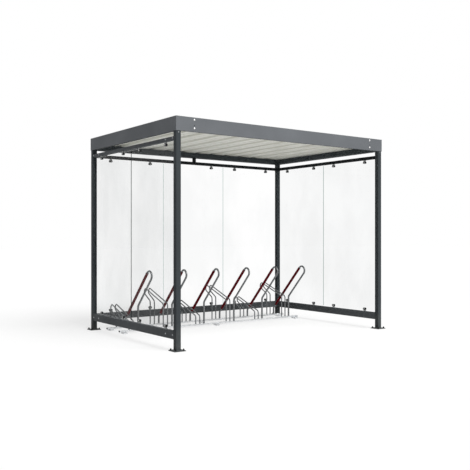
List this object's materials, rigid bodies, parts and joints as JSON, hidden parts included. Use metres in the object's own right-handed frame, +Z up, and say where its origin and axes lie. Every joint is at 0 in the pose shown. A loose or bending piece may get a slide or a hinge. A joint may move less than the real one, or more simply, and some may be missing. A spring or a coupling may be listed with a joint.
{
  "type": "bike shelter",
  "caption": "Flat-roofed glazed bike shelter with an open front, glass side and back walls between slim square posts, and a rack of leaning hoops and wheel holders.",
  "frame": {"origin": "on the ground, at the middle of the plan", "axes": "+Z up, the open front faces -Y, the long side runs along X"},
  "size_m": [3.24, 2.24, 2.5],
  "materials": {
    "frame_coat": "anthracite grey fine-texture powder coat",
    "roof_sheet_paint": "off-white polyester coil coating, satin",
    "clear_glass": "clear toughened glass, polished edges",
    "clamp_coat": "black powder coat, satin",
    "galvanised": "hot-dip galvanised steel, dull spangle",
    "sleeve_plastic": "dark red rubbed plastic sleeve"
  },
  "bodies": {
    "root": {"base_plate_back_left": "frame_coat", "base_plate_back_right": "frame_coat", "base_plate_front_left": "frame_coat", "base_plate_front_right": "frame_coat", "fascia_back": "frame_coat", "fascia_front": "frame_coat", "fascia_left": "frame_coat", "fascia_right": "frame_coat", "glass_back_1": "clear_glass", "glass_back_2": "clear_glass", "glass_back_3": "clear_glass", "glass_clamps_back": "clamp_coat", "glass_clamps_left": "clamp_coat", "glass_clamps_right": "clamp_coat", "glass_left_1": "clear_glass", "glass_left_2": "clear_glass", "glass_right_1": "clear_glass", "glass_right_2": "clear_glass", "hoop_sleeves": "sleeve_plastic", "lean_hoop_1": "galvanised", "lean_hoop_2": "galvanised", "lean_hoop_3": "galvanised", "lean_hoop_4": "galvanised", "lean_hoop_5": "galvanised", "lean_hoop_6": "galvanised", "lower_rail_back": "frame_coat", "lower_rail_left": "frame_coat", "lower_rail_right": "frame_coat", "post_back_left": "frame_coat", "post_back_right": "frame_coat", "post_front_left": "frame_coat", "post_front_right": "frame_coat", "rack_feet": "galvanised", "rack_rail_back": "galvanised", "rack_rail_front": "galvanised", "rail_strut_back": "frame_coat", "roof_beam_back": "frame_coat", "roof_beam_front": "frame_coat", "roof_beam_left": "frame_coat", "roof_beam_right": "frame_coat", "roof_sheet": "roof_sheet_paint", "upper_rail_back": "frame_coat", "upper_rail_left": "frame_coat", "upper_rail_right": "frame_coat", "wheel_holder_1_low": "galvanised", "wheel_holder_2_high": "galvanised", "wheel_holder_3_low": "galvanised", "wheel_holder_4_high": "galvanised", "wheel_holder_5_low": "galvanised", "wheel_holder_6_high": "galvanised"}
  },
  "joints": []
}
